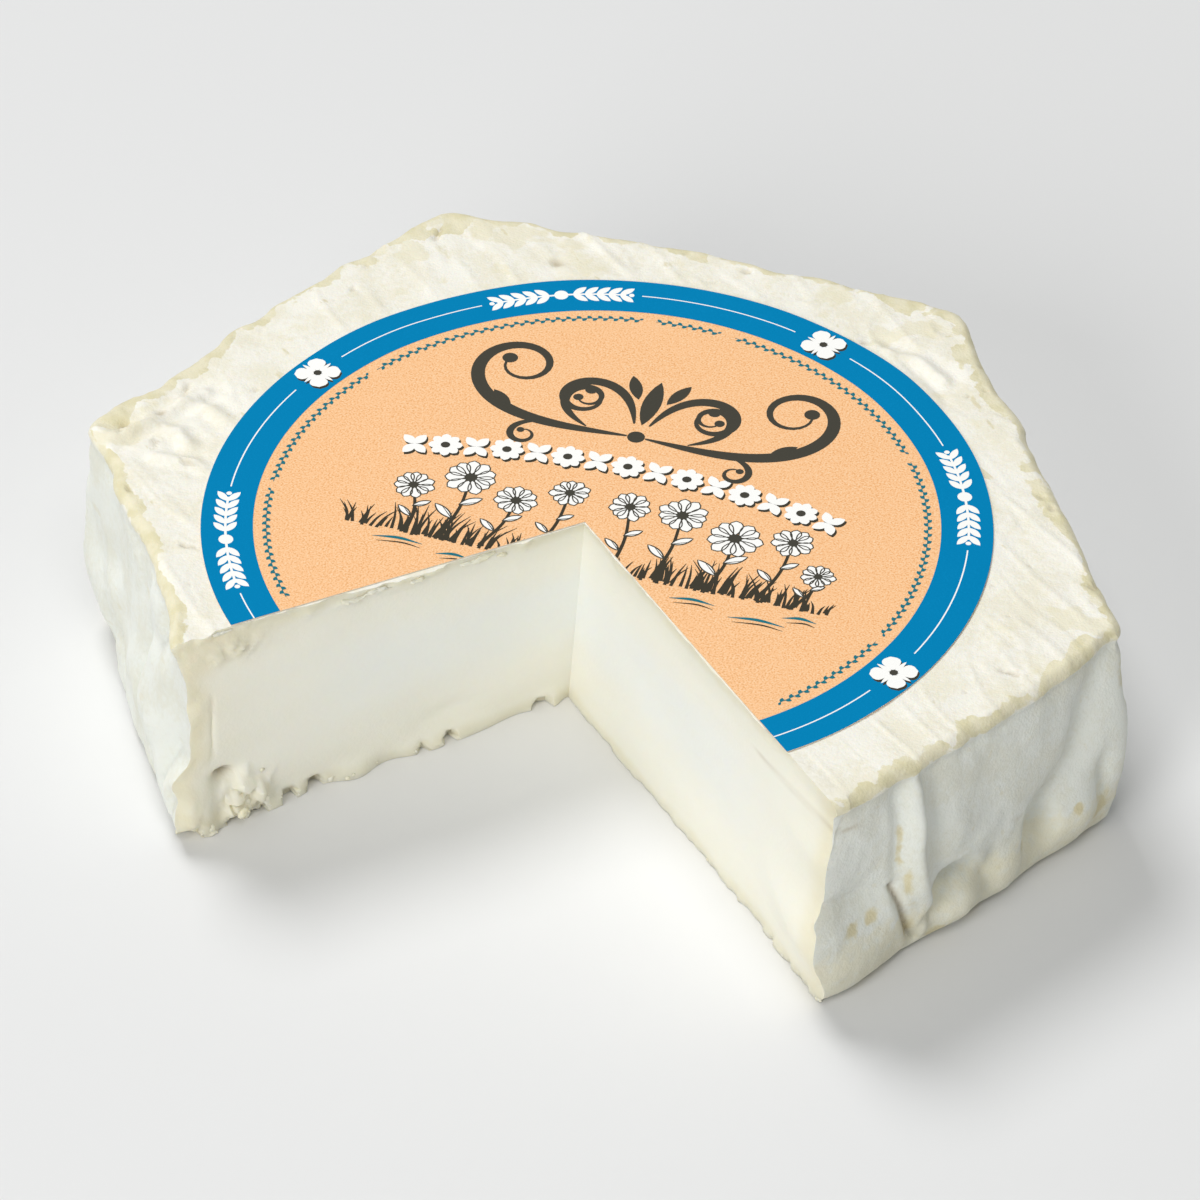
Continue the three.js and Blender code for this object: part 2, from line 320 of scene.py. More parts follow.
def left_cut_relief(out, z):
    """How far the left cut face stands proud, by distance from the tip and height."""
    near_base = 1 - smooth(z, 0, 5)
    ragged = (0.5 + 0.8 * np.sin(out / 3.1 + 1.3 * np.sin(out / 6.7))) * near_base
    torn = -2.4 * smooth(grain(out / 2.7, 0.0, 1.0, 31), 0.2, 0.5) * (1 - smooth(z, 0.4, 3.4))
    crumbs = (0.5 + 2.4 * crumbly(out, z, 2.5, 32)) * crumbled(out, z)
    cavity = -3.4 * hill((out - CAVITY_OUT) / 2.2, (z - 10.2) / 1.5)
    flap = (2.4 + 0.5 * rough(out, z, 0.0, 4.0, 3, 36)) * smooth(out, 69, 74) * (1 - smooth(z, 7, 13))
    rind_lip = 0.4 * smooth(out, 70, 76) * rough(out, z, 0.0, 4.0, 3, 33)
    smeared = np.maximum(0, rough(out, z, 0.0, 4.0, 3, 34) + 0.15)
    smear = 0.6 * smeared * smooth(z, HEIGHT - 3.5, HEIGHT - 2.0)
    ripe_lumps = 0.1 + 1.1 * crumbly(out + z, (z - out) * 0.5, 2.6, 38)
    smear = smear + ripe_lumps * hill((out - 67.5) / 6.5, (z - 39.0) / 2.6)
    score = -0.35 * hill((out - 70.9 + 0.02 * (z - 20)) / 0.35) * smooth(z, 13, 16) * (1 - smooth(z, 28, 31))
    scoop = -0.7 * hill((out - 25) / 5.5, (z - 7.5) / 2.4)
    return (
        ragged + torn + crumbs + cavity + flap + rind_lip + smear + score + scoop
        + 0.25 * lumps(out, z * 1.6) + 0.05 * rough(out / 4, z, 0.0, 1.6, 2, 35)
    )


def right_cut_relief(out, z):
    """The same for the right cut face, which is cleaner and twists a little near the rind."""
    ragged = 0.15 * np.sin(out / 2.7) + (0.25 + 0.5 * smooth(out, 50, 75)) * grain(out / 1.2, 0.0, 0.0, 41)
    ragged = ragged * (1 - smooth(z, 0, 2.5))
    smear = 0.25 * np.maximum(0, rough(out, z, 0.0, 3.0, 2, 42)) * smooth(z, HEIGHT - 3.5, HEIGHT - 1.5)
    flap = 1.4 * hill((out - 86) / 2.0, (z - 19.5) / 1.6)
    lean = 1.0 + 3.0 * hill((z - 13) / 6.5) - 1.7 * smooth(z, 29, 36) - 3.4 * smooth(z, 36, 46)
    twist = smooth(out, 60, 84) * lean
    fine = 0.05 * rough(out / 4, z, 0.0, 1.6, 2, 43)
    return ragged + smear + flap + twist + 0.25 * lumps(out * 0.8, z) + fine


def cheese_points(angle, share, inset, z, cut):
    """Places on the cheese in millimetres from the tip. cut is 1 on the right cut face, -1 on the left."""
    angle, share, inset, z, cut = np.broadcast_arrays(angle, share, inset, z, cut)
    cosine, sine = np.cos(angle), np.sin(angle)
    reach = rim(angle)
    dip = 0.35 * smooth(mat_lines(reach * cosine, reach * sine), 0.6, 3.6) * smooth(z, HEIGHT - 8, HEIGHT)
    wall = reach - inset + wall_relief(angle, z) * smooth(z, -2, FOOT) - dip
    lean = 1 - z / HEIGHT
    x = (1 - share) * TIP_LEAN[0] * lean + share * cosine * wall
    y = (1 - share) * TIP_LEAN[1] * lean + share * sine * wall
    out = share * wall
    proud = np.where(cut > 0, right_cut_relief(out, z), np.where(cut < 0, left_cut_relief(out, z), 0.0))
    proud = proud * smooth(share, 0, 0.05)
    x = x + cut * sine * proud
    y = y - cut * cosine * proud
    height = z + top_relief(x, y) * (z / HEIGHT) ** 10
    return np.stack((x, y, height), -1)


def half_arc(steps):
    return np.arange(1, steps + 1) / steps * math.pi / 2


# Stations up the edge of the cheese, from the base round the foot, up the wall and over the shoulder
arc_in, arc_up = 1 - np.sin(half_arc(ROUND_STEPS)), 1 - np.cos(half_arc(ROUND_STEPS))
edge_inset = np.concatenate(([FOOT], FOOT * arc_in, np.zeros(WALL_STEPS), SHOULDER * arc_up))
edge_z = np.concatenate((
    [0.0], FOOT * arc_up,
    np.linspace(FOOT, HEIGHT - SHOULDER, WALL_STEPS + 1)[1:],
    HEIGHT - SHOULDER * arc_in,
))
margin_shares = np.linspace(MARGIN_FROM, 1, MARGIN_STEPS + 1)
all_shares = np.concatenate((np.linspace(0, MARGIN_FROM, INNER_STEPS + 1)[:-1], margin_shares))
station_share = np.concatenate((np.ones(len(edge_z)), margin_shares[-2::-1]))
station_inset = np.concatenate((edge_inset, np.full(MARGIN_STEPS, SHOULDER)))
station_z = np.concatenate((edge_z, np.full(MARGIN_STEPS, HEIGHT)))
column_angle = np.concatenate((
    np.linspace(RIGHT_CUT, RIGHT_CORNER, FRONT_COLUMNS + 1)[:-1],
    np.linspace(RIGHT_CORNER, LEFT_CUT, BACK_COLUMNS + 1),
))


def grid_faces(rows, columns, first, flip):
    """Square faces between neighbours of a grid of vertices, numbered row by row from first."""
    row, column = np.meshgrid(np.arange(rows - 1), np.arange(columns - 1), indexing="ij")
    a = (first + row * columns + column).ravel()
    quads = np.stack((a, a + columns, a + columns + 1, a + 1), -1)
    return quads[:, ::-1] if flip else quads


def cheese_mesh():
    """The rind as one band round the cheese, a grid for each cut face, the middle of the top and
    the flat base."""
    columns, stations, rows, shares = len(column_angle), len(station_z), len(edge_z), len(all_shares)
    band_cut = np.zeros((columns, 1))
    band_cut[0], band_cut[-1] = 1, -1
    band = cheese_points(column_angle[:, None], station_share, station_inset, station_z, band_cut)
    faces_of_cut = [
        cheese_points(angle, all_shares[None, :], edge_inset[:, None], edge_z[:, None], cut)
        for angle, cut in ((RIGHT_CUT, 1.0), (LEFT_CUT, -1.0))
    ]
    points = np.concatenate([p.reshape(-1, 3) for p in (band, *faces_of_cut)])
    first = [columns * stations, columns * stations + rows * shares]
    faces = grid_faces(columns, stations, 0, False).tolist()
    rind_faces = len(faces)
    faces += grid_faces(rows, shares, first[0], True).tolist()
    faces += grid_faces(rows, shares, first[1], False).tolist()
    for row, station, steps, turned in (
        (rows - 1, stations - 1, INNER_STEPS, False),
        (0, 0, shares - 1, True),
    ):
        round_rim = [c * stations + station for c in range(columns)]
        inwards = [first[1] + row * shares + k for k in range(steps - 1, -1, -1)]
        outwards = [first[0] + row * shares + k for k in range(1, steps)]
        loop = round_rim + inwards + outwards
        faces.append(loop[::-1] if turned else loop)
    return points, faces, rind_faces


RIPENING_BLEND = 1.8  # how softly the depths below the top, the side and the foot run into each other
FAR_FROM_SIDE = 60.0  # near the tip of the cut, the sides have no part in the ripening


def depth_below_rind(points, share, z):
    """How deep a place on a cut face lies below the rind, from whichever side is nearest."""
    out = np.hypot(points[..., 0], points[..., 1])
    reach = out / np.maximum(share, 1e-3)
    side = np.where(share > 0.3, reach - out, FAR_FROM_SIDE) * 0.42
    soft = sum(np.exp(-depth / RIPENING_BLEND) for depth in (side, HEIGHT - z, z * 0.7))
    return np.maximum(-np.log(soft) * RIPENING_BLEND, 0)


def fill(tree, made, inputs):
    """Link sockets to the inputs of a shader node, and set plain values on the inputs themselves."""
    for name, value in inputs.items():
        if isinstance(value, bpy.types.NodeSocket):
            tree.links.new(value, made.inputs[name])
        else:
            made.inputs[name].default_value = value


def node(tree, kind, inputs, output=0, **settings):
    """The output of a new shader node with its settings made and its inputs filled."""
    made = tree.nodes.new("ShaderNode" + kind)
    for name, value in settings.items():
        setattr(made, name, value)
    fill(tree, made, inputs)
    return made.outputs[output]


def colour(red, green, blue):
    """A colour given as a screen shows it, from 0 to 255, as the linear light that a shader takes."""
    shown = np.array((red, green, blue)) / 255
    linear = np.where(shown <= 0.04045, shown / 12.92, ((shown + 0.055) / 1.055) ** 2.4)
    return (*linear.tolist(), 1.0)


def place_on(tree):
    """Places on the piece in metres, by which every pattern is laid out."""
    return node(tree, "TexCoord", {}, "Object")


def mark(tree, name):
    return node(tree, "Attribute", {}, "Fac", attribute_name=name)


def blend(tree, amount, first, second):
    return node(tree, "Mix", {0: amount, 6: first, 7: second}, 2, data_type="RGBA")


def step(tree, value, low, high):
    return node(tree, "MapRange", {0: value, 1: low, 2: high}, interpolation_type="SMOOTHSTEP")


def between(tree, share, low, high):
    return node(tree, "MapRange", {0: share, 3: low, 4: high})


def plus(tree, first, second):
    return node(tree, "Math", {0: first, 1: second}, operation="ADD")


def times(tree, first, second):
    return node(tree, "Math", {0: first, 1: second}, operation="MULTIPLY")


def noise(tree, place, size, detail=3.0, stretch=(1, 1, 1), turn=0.0):
    """Noise whose features are about size metres wide, drawn out along the bearing turn."""
    turned = node(tree, "Mapping", {"Vector": place, "Rotation": (0, 0, -turn)})
    mapped = node(tree, "Mapping", {"Vector": turned, "Scale": stretch})
    return node(tree, "TexNoise", {"Vector": mapped, "Scale": 1 / size, "Detail": detail})


def fine_relief(tree, height, strength, distance):
    """Relief too fine for the mesh: height from 0 to 1, over a distance in metres."""
    return node(tree, "Bump", {"Height": height, "Strength": strength, "Distance": distance})


def finish(name, build):
    """A material whose shader and colour are built by a function."""
    material = bpy.data.materials.new(name)
    material.use_nodes = True
    tree = material.node_tree
    build(tree, tree.nodes["Principled BSDF"])
    return material


BLOOM_WHITE = colour(247, 244, 233)
BLOOM_THIN = colour(240, 235, 216)
# The walls' bloom is a little darker and cooler than the top's: painted shade.
SIDE_BLOOM_SHADED = colour(235, 237, 229)
SIDE_BLOOM_THIN_SHADED = colour(229, 229, 216)
WORN_IVORY = colour(234, 227, 197)
WORN_DEEP = colour(222, 214, 175)
STAIN_BEIGE = colour(218, 207, 166)
# The brown of cracks and tears, also used as painted shade in pits, along a crease and in a small hole.
CRACK_AND_SHADE_BROWN = colour(168, 150, 118)


def bloomy_rind(tree, shader):
    """White mould, thin and creamy in the dips, rubbed through to ivory along the edges, with painted shade
    on the walls, in the pits and along a crease.
    """
    place = place_on(tree)
    worn, thin, stain, crack_and_shade, side = (mark(tree, name) for name in ("worn", "thin", "stain", "crack_and_shade", "side"))
    ragged = plus(tree, noise(tree, place, 0.0021, 6.0), -0.5)
    fleck = noise(tree, place, 0.0011)
    mottled = times(tree, plus(tree, fleck, -0.5), 0.5)
    cloud = step(tree, plus(tree, noise(tree, place, 0.009, 4.0), mottled), 0.36, 0.7)
    top_bloom = blend(tree, cloud, BLOOM_WHITE, BLOOM_THIN)
    shaded_side_bloom = blend(tree, cloud, SIDE_BLOOM_SHADED, SIDE_BLOOM_THIN_SHADED)
    # The walls take a darker, cooler copy of the bloom: painted shade.
    base = blend(tree, side, top_bloom, shaded_side_bloom)
    thin_edge = step(tree, plus(tree, thin, times(tree, ragged, 0.9)), 0.3, 0.75)
    base = blend(tree, times(tree, thin_edge, 0.6), base, WORN_IVORY)
    spots = step(tree, noise(tree, place, 0.003, 3.0, (0.4, 1, 1), MAT_LINE_BEARING), 0.67, 0.73)
    spots = times(tree, spots, plus(tree, 0.6, times(tree, side, -0.4)))
    base = blend(tree, spots, base, STAIN_BEIGE)
    worn_edge = step(tree, plus(tree, worn, times(tree, ragged, 4.0)), -0.2, 0.25)
    ivory = blend(tree, step(tree, noise(tree, place, 0.004, 4.0), 0.38, 0.66), WORN_IVORY, WORN_DEEP)
    base = blend(tree, times(tree, worn_edge, 0.93), base, ivory)
    stain_edge = step(tree, plus(tree, stain, times(tree, ragged, 1.6)), 0.3, 0.95)
    base = blend(tree, times(tree, stain_edge, 0.85), base, STAIN_BEIGE)
    # Cracks and tears are browned here, and so is painted shade in the pits, along a crease and in the small
    # hole.
    base = blend(tree, times(tree, crack_and_shade, 0.7), base, CRACK_AND_SHADE_BROWN)
    fuzz = plus(tree, times(tree, fleck, 0.8), noise(tree, place, 0.0005))
    fill(tree, shader, {
        "Base Color": base,
        "Roughness": between(tree, worn_edge, 0.95, 0.66),
        "Specular IOR Level": 0.22,
        "Sheen Weight": 0.1,
        "Sheen Roughness": 0.6,
        "Subsurface Weight": 0.12,
        "Subsurface Radius": (1.0, 0.8, 0.55),
        "Subsurface Scale": 0.0015,
        "Normal": fine_relief(tree, fuzz, 0.55, 0.0002),
    })


PASTE_CORE = colour(243, 244, 237)
PASTE_WARM = colour(246, 244, 231)
PASTE_CREAM = colour(242, 239, 223)
PASTE_RIPE = colour(235, 229, 204)


def cut_paste(tree, shader):
    """Smooth moist curd, white in its heart and ripened to cream just below the rind."""
    place = place_on(tree)
    wander = times(tree, plus(tree, noise(tree, place, 0.012), -0.5), 3.0)
    depth = plus(tree, mark(tree, "depth"), wander)
    core = blend(tree, step(tree, depth, 7.0, 16.0), PASTE_WARM, PASTE_CORE)
    creamy = blend(tree, step(tree, depth, 1.0, 7.5), PASTE_CREAM, core)
    ripe = blend(tree, step(tree, depth, 0.2, 2.6), PASTE_RIPE, creamy)
    # Brown painted into the small hole on the left cut: painted shade.
    with_cavity_shade = blend(tree, times(tree, mark(tree, "crack_and_shade"), 0.8), ripe, CRACK_AND_SHADE_BROWN)
    drag = noise(tree, place, 0.002, 3.0, (0.12, 0.12, 1.0))
    curd = plus(tree, times(tree, drag, 0.7), noise(tree, place, 0.0008))
    fill(tree, shader, {
        "Base Color": with_cavity_shade,
        "Roughness": between(tree, noise(tree, place, 0.004), 0.36, 0.62),
        "Specular IOR Level": 0.35,
        "Subsurface Weight": 0.4,
        "Subsurface Radius": (1.0, 0.85, 0.6),
        "Subsurface Scale": 0.004,
        "Normal": fine_relief(tree, curd, 0.3, 0.0002),
    })


# Distance from the right corner, height, and half the width and height of each yellow mark
STAINS = (
    (54.8, 15.0, 1.7, 1.9), (58.9, 14.7, 1.6, 1.9), (48.9, 28.0, 0.7, 6.5), (47.6, 18.4, 0.8, 4.5),
    (46.7, 6.7, 1.0, 3.0), (39.9, 2.8, 3.4, 2.0), (4.2, 8.0, 1.6, 4.0), (20.6, 7.9, 1.4, 0.8),
    (10.9, 12.2, 1.0, 1.6), (31.0, 1.0, 3.0, 0.9),
)


def rind_marks(points):
    """How far inside the ivory edge each place lies in millimetres, and how thin, stained and cracked
    the rind is there, from 0 to 1. The crack mark also holds painted shade in the pits and along a crease."""
    x, y, z = points.T
    angle = np.arctan2(y, x)
    angle = np.where(angle < RIGHT_CUT - 0.2, angle + 2 * math.pi, angle)
    inset = rim(angle) + wall_relief(angle, HEIGHT - SHOULDER) - np.hypot(x, y)
    line = mat_lines(x, y)
    tongue = 1 - smooth(line, 0.5, 1.7)
    off_line = smooth(line, 1.4, 3.4)
    uneven = rough(x, y, z, 6.0, 4, 51)
    near = [hill(from_corner(number, x, y) / 15) for number in range(6)]
    band = 2.5 + 0.6 * off_line - 1.4 * tongue + 1.5 * uneven + 6.5 * near[2] * smooth(uneven, -0.5, 0.1)
    band = band + 4.5 * near[BACK_RIGHT] * smooth(uneven, -0.3, 0.2)
    band = band + 0.3 * near[0] + 5.0 * near[LEFT] * (y > corner_points[LEFT][1])
    below = 1.9 + 0.7 * uneven + 0.3 * off_line
    foot_band = 0.1 + 1.3 * uneven - z
    worn = np.clip(np.maximum(np.minimum(band - inset, below - (HEIGHT - z)), foot_band), -4, 4)
    top = smooth(z, HEIGHT - 3, HEIGHT - 1)
    patchy = 0.3 + 0.35 * smooth(y, 0, 50) + sum(near[:4])
    thin = top * (0.15 * off_line + 0.8 * smooth(-uneven, 0.1, 0.7) * patchy)
    thin = np.maximum(thin, 0.35 * smooth(rough(x, y, z, 11.0, 2, 52), 0.4, 0.9))
    run = wall_run(angle, x, y)
    thin = np.maximum(thin, 0.7 * smooth(run, -4, 4) * (1 - smooth(z, 8, 19)) * (1 - top))
    stain = np.zeros_like(x)
    for at_run, at_z, width, height in STAINS:
        stain = np.maximum(stain, hill((run - at_run) / width, (z - at_z) / height))
    stain = np.maximum(stain, 0.6 * hill(run / 1.4) * smooth(z, 4, 10))
    crack_and_shade = np.zeros_like(x)
    for path in CRACKS:
        crack_and_shade = np.maximum(crack_and_shade, 0.6 * hill(from_path(run, z, path) / 0.3))
    # Painted shade: a brown line along the lower part of the fold's crease.
    crack_and_shade = np.maximum(crack_and_shade, 0.85 * hill(from_path(run, z, CREASE[3:]) / 0.55) * smooth(z, 3, 6))
    # Painted shade: brown in the pits of the top, the same pits that the relief sinks.
    pit = smooth(grain(x / 2.4, y / 2.4, 0.0, 28), 0.88, 0.97) * (from_label(x, y) > 1)
    crack_and_shade = np.where(z < HEIGHT - 1.5, crack_and_shade, 0.4 * pit)
    for tear_x, tear_y, radius in TOP_TEARS:
        crack_and_shade = np.maximum(crack_and_shade, top * 0.9 * hill((x - tear_x) / radius, (y - tear_y) / radius / 0.7))
    return worn, thin, stain, crack_and_shade, 1 - top


def make_cheese():
    """The mesh with its marks and its two materials, joined into one closed body."""
    points, faces, rind_faces = cheese_mesh()
    columns, stations, rows, shares = len(column_angle), len(station_z), len(edge_z), len(all_shares)
    worn, thin, stain, crack_and_shade, side = rind_marks(points)
    depth = np.zeros(len(points))
    start = columns * stations
    for cut in (1, -1):
        face = slice(start, start + rows * shares)
        patch = points[face].reshape(rows, shares, 3)
        deep = depth_below_rind(patch, all_shares[None, :], edge_z[:, None])
        if cut < 0:
            out, z = np.hypot(patch[..., 0], patch[..., 1]), patch[..., 2]
            deep = deep * (1 - 0.7 * crumbled(out, z)) * (1 - 0.6 * smooth(out, 50, 64) * smooth(z, 33, 38))
            # On the cut faces the mark holds only a brown painted into the small hole: painted shade.
            crack_and_shade[face] = (0.6 * hill((out - CAVITY_OUT) / 1.9, (z - 10.4) / 1.2)).ravel()
        depth[face] = deep.ravel()
        start = face.stop
    placed = np.concatenate((points[:, :2] + TIP, points[:, 2:]), axis=1) * MM
    mesh = bpy.data.meshes.new("cheese_wheel")
    mesh.from_pydata(placed.tolist(), [], faces)
    marks = {"worn": worn, "thin": thin, "stain": stain, "crack_and_shade": crack_and_shade, "side": side, "depth": depth}
    for name, values in marks.items():
        mesh.attributes.new(name, "FLOAT", "POINT").data.foreach_set("value", values.astype(np.float32))
    slots = np.zeros(len(faces), np.int32)
    slots[rind_faces:-2] = 1
    mesh.polygons.foreach_set("material_index", slots)
    mesh.materials.append(finish("bloomy_rind", bloomy_rind))
    mesh.materials.append(finish("cut_paste", cut_paste))
    shape = bmesh.new()
    shape.from_mesh(mesh)
    bmesh.ops.remove_doubles(shape, verts=shape.verts, dist=1e-7)
    shape.to_mesh(mesh)
    shape.free()
    mesh.shade_smooth()
    mesh.set_sharp_from_angle(angle=SHARP_EDGE)
    wheel = bpy.data.objects.new("cheese_wheel", mesh)
    bpy.context.collection.objects.link(wheel)
    return wheel


cheese = make_cheese()
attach(cheese, "root")
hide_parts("cheese")

# The crumbs: bits of curd and cream that the knife tore loose and left sticking to the cut faces,
# most of them where the left cut crumbled at its foot, and smears dragged along the top edge.
# They are moist enough to run into each other.
draw = np.random.default_rng(5)
# Cut, how many, middle (out from the tip, height), spread of both, smallest and largest radius
CRUMB_GROUPS = (
    (-1, 9, (64.0, 4.4), (3.4, 2.6), 0.5, 1.2),
    (-1, 6, (75.0, 1.4), (2.2, 1.0), 0.5, 1.0),
    (-1, 24, (38.0, 0.4), (20.0, 0.4), 0.25, 0.55),
    (1, 26, (66.0, 0.4), (14.0, 0.4), 0.25, 0.5),
)
OUTERMOST = {1: 84, -1: 77}  # how far out crumbs may lie on each cut
SMEARS = 8
CLEFT_DEPTH = 0.3  # how deep the clefts between the grains of the crumbs are
CRUMB_DETAIL = 0.27  # edge of the grid that fuses the crumbs


def on_cut(cut, out, z):
    """A place on a cut face, and the directions outwards along it and away from it."""
    angle = RIGHT_CUT if cut > 0 else LEFT_CUT
    share = np.clip(out / rim(angle), 0.04, 1.0)
    place = cheese_points(*(np.array([float(value)]) for value in (angle, share, 0.0, z, cut)))[0]
    facing = np.array((cut * math.sin(angle), -cut * math.cos(angle), 0.0))
    along = np.array((math.cos(angle), math.sin(angle), 0.0))
    return place, facing, along


ball = bmesh.new()
bmesh.ops.create_icosphere(ball, subdivisions=3, radius=1)
ball_points = np.array([v.co for v in ball.verts])
ball_faces = np.array([[v.index for v in f.verts] for f in ball.faces])
ball.free()
crumb_points = []


def drop_crumb(place, axes, radii):
    """A lump of curd with its three axes, in millimetres from the tip of the cut."""
    turn = 13.7 * len(crumb_points)
    bumps = 1 + 0.3 * rough(ball_points[:, 0] + turn, ball_points[:, 1], ball_points[:, 2], 0.9, 3, 71)
    crumb_points.append(place + (ball_points * radii * bumps[:, None]) @ axes)


for cut, count, middle, spread, least, most in CRUMB_GROUPS:
    for _ in range(count):
        out = float(np.clip(middle[0] + spread[0] * draw.normal(), 3, OUTERMOST[cut]))
        size = least + (most - least) * draw.random() ** 2
        z = float(np.clip(abs(middle[1] + spread[1] * draw.normal()), size * 0.3, HEIGHT - 1))
        place, facing, along = on_cut(cut, out, z)
        turn = draw.uniform(0, math.pi)
        first = along * math.cos(turn) + np.array((0, 0, 1)) * math.sin(turn)
        axes = np.stack((first, np.cross(facing, first), facing))
        radii = size * np.array((draw.uniform(0.9, 1.5), draw.uniform(0.8, 1.2), draw.uniform(0.4, 0.65)))
        drop_crumb(place - facing * size * 0.15, axes, radii)

for _ in range(SMEARS):
    place, facing, along = on_cut(-1, draw.uniform(12, 72), HEIGHT - 0.6)
    length = draw.uniform(1.0, 3.4)
    lift = np.array((0, 0, draw.uniform(-1.1, 0.1)))
    axes = np.stack((along, np.cross(facing, along), facing))
    drop_crumb(place + lift, axes, np.array((length, draw.uniform(0.35, 0.6), draw.uniform(0.3, 0.45))))


def loose_curd(tree, shader):
    """Moist crumbly curd, creamier than the cut face it came from."""
    place = place_on(tree)
    cloud = step(tree, noise(tree, place, 0.006), 0.35, 0.65)
    fill(tree, shader, {
        "Base Color": blend(tree, cloud, colour(248, 243, 222), colour(241, 234, 204)),
        "Roughness": between(tree, noise(tree, place, 0.002), 0.4, 0.7),
        "Specular IOR Level": 0.35,
        "Subsurface Weight": 0.35,
        "Subsurface Radius": (1.0, 0.85, 0.6),
        "Subsurface Scale": 0.002,
        "Normal": fine_relief(tree, noise(tree, place, 0.0006), 0.4, 0.0002),
    })


all_crumbs = np.concatenate(crumb_points)
all_crumbs[:, 2] = np.maximum(all_crumbs[:, 2], 0.02)
all_crumbs[:, :2] += TIP
crumb_faces = np.concatenate([ball_faces + len(ball_points) * k for k in range(len(crumb_points))])
crumb_mesh = bpy.data.meshes.new("curd_crumbs")
crumb_mesh.from_pydata((all_crumbs * MM).tolist(), [], crumb_faces.tolist())
crumbs = bpy.data.objects.new("curd_crumbs", crumb_mesh)
bpy.context.collection.objects.link(crumbs)
fused = crumbs.modifiers.new("fuse", "REMESH")
fused.mode = "VOXEL"
fused.voxel_size = CRUMB_DETAIL * MM
relaxed = crumbs.modifiers.new("relax", "SMOOTH")
relaxed.iterations = 2
fused_mesh = bpy.data.meshes.new_from_object(crumbs.evaluated_get(bpy.context.evaluated_depsgraph_get()))
crumbs.modifiers.clear()
crumbs.data = fused_mesh
fused_mesh.name = "curd_crumbs"
crumb_count = len(fused_mesh.vertices)
surface = np.empty(crumb_count * 3)
fused_mesh.vertices.foreach_get("co", surface)
facing = np.empty(crumb_count * 3)
fused_mesh.vertices.foreach_get("normal", facing)
surface, facing = surface.reshape(-1, 3) / MM, facing.reshape(-1, 3)
clefts = sum(np.abs(grain(*(surface / size).T, 72)) * size for size in (1.3, 0.7))
surface = surface + facing * (CLEFT_DEPTH * (clefts - 0.45))[:, None]
surface[:, 2] = np.maximum(surface[:, 2], 0.01)
fused_mesh.vertices.foreach_set("co", (surface * MM).ravel())
fused_mesh.materials.clear()
fused_mesh.materials.append(finish("loose_curd", loose_curd))
fused_mesh.shade_smooth()
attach(crumbs, "root")

# The label: a round sheet of thin kraft-coloured paper laid on the young rind, and later cut
# through with the cheese. It clings to the curd, and only its rim stands a little off the rind.
PAPER_THICKNESS = 0.12
PAPER_LIFT = 0.06
TORN_BACK = 0.2  # how far the paper stays back from the cut


def paper_height(x, y):
    """Height of the top of the paper, at a place in millimetres from the middle of the label."""
    lifted = 0.15 * smooth(np.hypot(x, y), 48, LABEL_RADIUS)
    return HEIGHT + PAPER_LIFT + PAPER_THICKNESS + lifted * (1 + grain(x / 13, y / 13, 0.0, 61))


def trim_by_cut(shape, back):
    """Take the wedge out of a flat sheet, along lines a little back from the two cuts."""
    tip = Vector((-LABEL_OFFSET[0], -LABEL_OFFSET[1], 0))
    facings = [
        Vector((cut * math.sin(angle), -cut * math.cos(angle), 0))
        for angle, cut in ((RIGHT_CUT, 1), (LEFT_CUT, -1))
    ]
    for facing in facings:
        parts = shape.verts[:] + shape.edges[:] + shape.faces[:]
        bmesh.ops.bisect_plane(shape, geom=parts, plane_co=tip - facing * back, plane_no=facing)
    lost = [
        face for face in shape.faces
        if all((face.calc_center_median() - tip).dot(facing) > -back for facing in facings)
    ]
    bmesh.ops.delete(shape, geom=lost, context="FACES")


def lay_sheet(name, shape, rise, material):
    """Bring a flat trimmed shape up onto the paper, and make it a piece of the part."""
    for vert in shape.verts:
        x, y, own = vert.co
        vert.co = (
            (x + TIP[0] + LABEL_OFFSET[0]) * MM,
            (y + TIP[1] + LABEL_OFFSET[1]) * MM,
            (float(paper_height(x, y)) + rise + own) * MM,
        )
    mesh = bpy.data.meshes.new(name)
    shape.to_mesh(mesh)
    shape.free()
    mesh.materials.append(material)
    sheet = bpy.data.objects.new(name, mesh)
    bpy.context.collection.objects.link(sheet)
    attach(sheet, "root")
    return sheet


def kraft_paper(tree, shader):
    """Matt kraft paper: warm orange with fine paler and darker fibres."""
    place = place_on(tree)
    fibre = noise(tree, place, 0.00033)
    cloud = step(tree, noise(tree, place, 0.006, 2.0), 0.5, 0.8)
    darker = blend(tree, step(tree, fibre, 0.34, 0.5), colour(237, 174, 115), colour(254, 201, 149))
    paler = blend(tree, step(tree, fibre, 0.52, 0.68), darker, colour(255, 216, 174))
    fill(tree, shader, {
        "Base Color": blend(tree, times(tree, cloud, 0.25), paler, colour(255, 206, 158)),
        "Roughness": 0.75,
        "Specular IOR Level": 0.12,
        "Normal": fine_relief(tree, fibre, 0.25, 0.00006),
    })


def cut_edge(tree, shader):
    """The pale core of the paper, seen at its cut edge."""
    fill(tree, shader, {
        "Base Color": colour(236, 226, 208),
        "Roughness": 0.9,
        "Normal": fine_relief(tree, noise(tree, place_on(tree), 0.0003), 1.0, 0.00005),
    })


